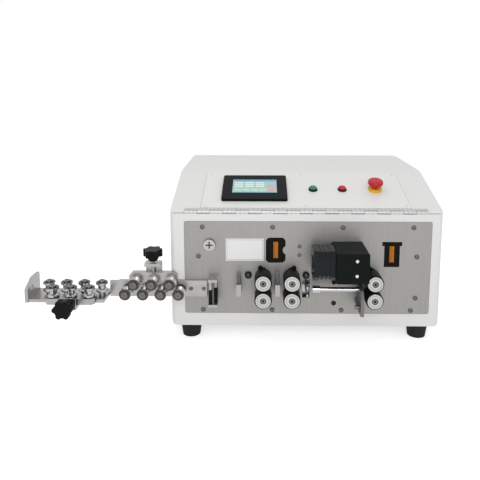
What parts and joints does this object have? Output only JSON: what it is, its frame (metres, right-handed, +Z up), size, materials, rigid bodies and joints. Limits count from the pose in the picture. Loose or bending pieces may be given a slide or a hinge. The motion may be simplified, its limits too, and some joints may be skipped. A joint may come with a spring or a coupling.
{
  "type": "wire cutting and stripping machine",
  "caption": "Benchtop wire cutting and stripping machine with roller straighteners, driven feed rollers, blades, swing conduit and a hinged control hood.",
  "frame": {"origin": "on the table, below the middle of the whole machine's box", "axes": "+X along the wire from inlet to outlet, +Y to the back, +Z up"},
  "size_m": [0.772, 0.4626, 0.3002],
  "materials": {
    "white_paint": "fine texture powder coat",
    "panel_paint": "satin powder coat",
    "foot_rubber": "matte moulded rubber",
    "brushed_steel": "fine vertical brushing",
    "milled_aluminium": "milled",
    "motor_black": "black paint over laminations",
    "zinc_sheet": "plain sheet",
    "board_green": "solder mask",
    "black_plastic": "fine grain",
    "hinge_steel": "satin",
    "milled_steel": "milled and ground",
    "black_anodised": "black anodised",
    "yellow_plastic": "semi gloss",
    "green_plastic": "semi gloss",
    "red_plastic": "semi gloss",
    "tool_steel": "ground",
    "chrome": "polished",
    "roller_steel": "knurled rim with a turned face"
  },
  "bodies": {
    "chassis": {"housing": "white_paint", "feet": "foot_rubber", "front_plate": "brushed_steel", "bearing_frame": "milled_aluminium", "stepper_motors": "motor_black", "power_supply": "zinc_sheet", "control_board": "board_green", "power_inlet": "black_plastic", "hinge_fixed_leaf": "hinge_steel", "straightener_arm": "milled_steel", "upright_bracket": "milled_steel", "level_plate": "milled_steel", "level_bracket": "milled_steel", "inlet_plate": "milled_steel", "entry_guide": "milled_steel", "infeed_guide": "milled_steel", "middle_guide": "milled_steel", "blade_guide": "milled_steel", "swing_motor": "motor_black", "swing_gearbox": "black_anodised", "scale_windows": "black_plastic"},
    "hood": {"hood": "white_paint", "control_panel": "panel_paint", "touch_screen": "black_plastic", "button_rings": "black_plastic", "stop_collar": "yellow_plastic", "hinge_moving_leaf": "hinge_steel"},
    "conduit": {"conduit": "milled_steel", "conduit_bracket": "milled_steel"},
    "start_button": {"start_button": "green_plastic"},
    "stop_button": {"stop_button": "red_plastic"},
    "emergency_stop": {"emergency_stop": "red_plastic"},
    "feed_arm_1": {"feed_arm_1": "black_anodised"},
    "feed_arm_2": {"feed_arm_2": "black_anodised"},
    "output_arm": {"output_arm": "black_anodised"},
    "feed_roller_1_lower": {"feed_roller_1_lower": "roller_steel"},
    "feed_roller_1_upper": {"feed_roller_1_upper": "roller_steel"},
    "feed_roller_2_lower": {"feed_roller_2_lower": "roller_steel"},
    "feed_roller_2_upper": {"feed_roller_2_upper": "roller_steel"},
    "output_roller_lower": {"output_roller_lower": "roller_steel"},
    "output_roller_upper": {"output_roller_upper": "roller_steel"},
    "upper_blade": {"upper_blade": "tool_steel"},
    "lower_blade": {"lower_blade": "tool_steel"},
    "panel_lock": {"panel_lock": "chrome"},
    "upright_block": {"upright_block": "milled_steel"},
    "upright_knob": {"upright_knob": "black_plastic"},
    "level_block": {"level_block": "milled_steel"},
    "level_knob": {"level_knob": "black_plastic"},
    "upright_idler_low_1": {"upright_idler_low_1": "chrome"},
    "level_idler_back_1": {"level_idler_back_1": "chrome"},
    "upright_idler_low_2": {"upright_idler_low_2": "chrome"},
    "level_idler_back_2": {"level_idler_back_2": "chrome"},
    "upright_idler_low_3": {"upright_idler_low_3": "chrome"},
    "level_idler_back_3": {"level_idler_back_3": "chrome"},
    "upright_idler_low_4": {"upright_idler_low_4": "chrome"},
    "level_idler_back_4": {"level_idler_back_4": "chrome"},
    "upright_idler_top_1": {"upright_idler_top_1": "chrome"},
    "level_idler_front_1": {"level_idler_front_1": "chrome"},
    "upright_idler_top_2": {"upright_idler_top_2": "chrome"},
    "level_idler_front_2": {"level_idler_front_2": "chrome"},
    "upright_idler_top_3": {"upright_idler_top_3": "chrome"},
    "level_idler_front_3": {"level_idler_front_3": "chrome"}
  },
  "joints": [
    {"name": "hood_hinge", "type": "hinge", "parent": "chassis", "child": "hood", "pos_m": [0.131, -0.14285, 0.25], "axis": [1, 0, 0], "range_deg": [0, 75]},
    {"name": "start_button_push", "type": "slide", "parent": "hood", "child": "start_button", "axis": [0, 0.2949, -0.9555], "range_m": [0, 0.0025], "stiffness_N_per_m": 400, "springref_m": -0.002},
    {"name": "stop_button_push", "type": "slide", "parent": "hood", "child": "stop_button", "axis": [0, 0.2949, -0.9555], "range_m": [0, 0.0025], "stiffness_N_per_m": 400, "springref_m": -0.002},
    {"name": "emergency_stop_push", "type": "slide", "parent": "hood", "child": "emergency_stop", "axis": [0, 0.2949, -0.9555], "range_m": [0, 0.004], "stiffness_N_per_m": 400, "springref_m": -0.002},
    {"name": "feed_arm_1_swing", "type": "hinge", "parent": "chassis", "child": "feed_arm_1", "pos_m": [0.023, -0.14625, 0.1294], "axis": [0, -1, 0], "range_deg": [0, 14], "stiffness_Nm_per_rad": 2, "springref_deg": -5.73},
    {"name": "feed_arm_2_swing", "type": "hinge", "parent": "chassis", "child": "feed_arm_2", "pos_m": [0.132, -0.14625, 0.1294], "axis": [0, 1, 0], "range_deg": [0, 14], "stiffness_Nm_per_rad": 2, "springref_deg": -5.73},
    {"name": "output_arm_swing", "type": "hinge", "parent": "chassis", "child": "output_arm", "pos_m": [0.227, -0.14625, 0.1294], "axis": [0, -1, 0], "range_deg": [0, 14], "stiffness_Nm_per_rad": 2, "springref_deg": -5.73},
    {"name": "feed_roller_1_lower_spin", "type": "hinge", "parent": "chassis", "child": "feed_roller_1_lower", "pos_m": [0.051, -0.16725, 0.0936], "axis": [0, 1, 0], "continuous": true},
    {"name": "feed_roller_1_upper_spin", "type": "hinge", "parent": "feed_arm_1", "child": "feed_roller_1_upper", "pos_m": [0.051, -0.16725, 0.1264], "axis": [0, 1, 0], "continuous": true},
    {"name": "feed_roller_2_lower_spin", "type": "hinge", "parent": "chassis", "child": "feed_roller_2_lower", "pos_m": [0.104, -0.16725, 0.0936], "axis": [0, 1, 0], "continuous": true},
    {"name": "feed_roller_2_upper_spin", "type": "hinge", "parent": "feed_arm_2", "child": "feed_roller_2_upper", "pos_m": [0.104, -0.16725, 0.1264], "axis": [0, 1, 0], "continuous": true},
    {"name": "output_roller_lower_spin", "type": "hinge", "parent": "chassis", "child": "output_roller_lower", "pos_m": [0.255, -0.16725, 0.0936], "axis": [0, 1, 0], "continuous": true},
    {"name": "output_roller_upper_spin", "type": "hinge", "parent": "output_arm", "child": "output_roller_upper", "pos_m": [0.255, -0.16725, 0.1264], "axis": [0, 1, 0], "continuous": true},
    {"name": "upper_blade_slide", "type": "slide", "parent": "chassis", "child": "upper_blade", "axis": [0, 0, -1], "range_m": [0, 0.0046]},
    {"name": "lower_blade_slide", "type": "slide", "parent": "chassis", "child": "lower_blade", "axis": [0, 0, 1], "range_m": [0, 0.0046]},
    {"name": "conduit_swing", "type": "hinge", "parent": "chassis", "child": "conduit", "pos_m": [0.231, -0.14625, 0.08], "axis": [0, -1, 0], "range_deg": [0, 8]},
    {"name": "panel_lock_turn", "type": "hinge", "parent": "chassis", "child": "panel_lock", "pos_m": [-0.05, -0.14625, 0.188], "axis": [0, 1, 0], "range_deg": [0, 90]},
    {"name": "upright_block_slide", "type": "slide", "parent": "chassis", "child": "upright_block", "axis": [0, 0, 1], "range_m": [-0.003, 0.003]},
    {"name": "upright_knob_turn", "type": "hinge", "parent": "upright_block", "child": "upright_knob", "pos_m": [-0.1555, -0.15225, 0.16], "axis": [0, 0, 1], "range_deg": [-1090, 1090]},
    {"name": "level_block_slide", "type": "slide", "parent": "chassis", "child": "level_block", "axis": [0, 1, 0], "range_m": [-0.003, 0.003]},
    {"name": "level_knob_turn", "type": "hinge", "parent": "level_block", "child": "level_knob", "pos_m": [-0.3015, -0.20225, 0.095], "axis": [0, 1, 0], "range_deg": [-1090, 1090]},
    {"name": "upright_idler_low_1_spin", "type": "hinge", "parent": "chassis", "child": "upright_idler_low_1", "pos_m": [-0.205, -0.16725, 0.1005], "axis": [0, 1, 0], "continuous": true},
    {"name": "level_idler_back_1_spin", "type": "hinge", "parent": "chassis", "child": "level_idler_back_1", "pos_m": [-0.351, -0.15775, 0.11], "axis": [0, 0, 1], "continuous": true},
    {"name": "upright_idler_low_2_spin", "type": "hinge", "parent": "chassis", "child": "upright_idler_low_2", "pos_m": [-0.172, -0.16725, 0.1005], "axis": [0, 1, 0], "continuous": true},
    {"name": "level_idler_back_2_spin", "type": "hinge", "parent": "chassis", "child": "level_idler_back_2", "pos_m": [-0.318, -0.15775, 0.11], "axis": [0, 0, 1], "continuous": true},
    {"name": "upright_idler_low_3_spin", "type": "hinge", "parent": "chassis", "child": "upright_idler_low_3", "pos_m": [-0.139, -0.16725, 0.1005], "axis": [0, 1, 0], "continuous": true},
    {"name": "level_idler_back_3_spin", "type": "hinge", "parent": "chassis", "child": "level_idler_back_3", "pos_m": [-0.285, -0.15775, 0.11], "axis": [0, 0, 1], "continuous": true},
    {"name": "upright_idler_low_4_spin", "type": "hinge", "parent": "chassis", "child": "upright_idler_low_4", "pos_m": [-0.106, -0.16725, 0.1005], "axis": [0, 1, 0], "continuous": true},
    {"name": "level_idler_back_4_spin", "type": "hinge", "parent": "chassis", "child": "level_idler_back_4", "pos_m": [-0.252, -0.15775, 0.11], "axis": [0, 0, 1], "continuous": true},
    {"name": "upright_idler_top_1_spin", "type": "hinge", "parent": "upright_block", "child": "upright_idler_top_1", "pos_m": [-0.1885, -0.16725, 0.1195], "axis": [0, 1, 0], "continuous": true},
    {"name": "level_idler_front_1_spin", "type": "hinge", "parent": "level_block", "child": "level_idler_front_1", "pos_m": [-0.3345, -0.18275, 0.11], "axis": [0, 0, 1], "continuous": true},
    {"name": "upright_idler_top_2_spin", "type": "hinge", "parent": "upright_block", "child": "upright_idler_top_2", "pos_m": [-0.1555, -0.16725, 0.1195], "axis": [0, 1, 0], "continuous": true},
    {"name": "level_idler_front_2_spin", "type": "hinge", "parent": "level_block", "child": "level_idler_front_2", "pos_m": [-0.3015, -0.18275, 0.11], "axis": [0, 0, 1], "continuous": true},
    {"name": "upright_idler_top_3_spin", "type": "hinge", "parent": "upright_block", "child": "upright_idler_top_3", "pos_m": [-0.1225, -0.16725, 0.1195], "axis": [0, 1, 0], "continuous": true},
    {"name": "level_idler_front_3_spin", "type": "hinge", "parent": "level_block", "child": "level_idler_front_3", "pos_m": [-0.2685, -0.18275, 0.11], "axis": [0, 0, 1], "continuous": true}
  ],
  "couplings": [
    {"joint": "feed_roller_1_upper_spin", "follows": "feed_roller_1_lower_spin", "ratio": -1},
    {"joint": "feed_roller_2_lower_spin", "follows": "feed_roller_1_lower_spin", "ratio": 1},
    {"joint": "feed_roller_2_upper_spin", "follows": "feed_roller_1_lower_spin", "ratio": -1},
    {"joint": "output_roller_upper_spin", "follows": "output_roller_lower_spin", "ratio": -1},
    {"joint": "lower_blade_slide", "follows": "upper_blade_slide", "ratio": 1},
    {"joint": "upright_knob_turn", "follows": "upright_block_slide", "rad_per_m": 6283.2},
    {"joint": "level_knob_turn", "follows": "level_block_slide", "rad_per_m": 6283.2}
  ]
}
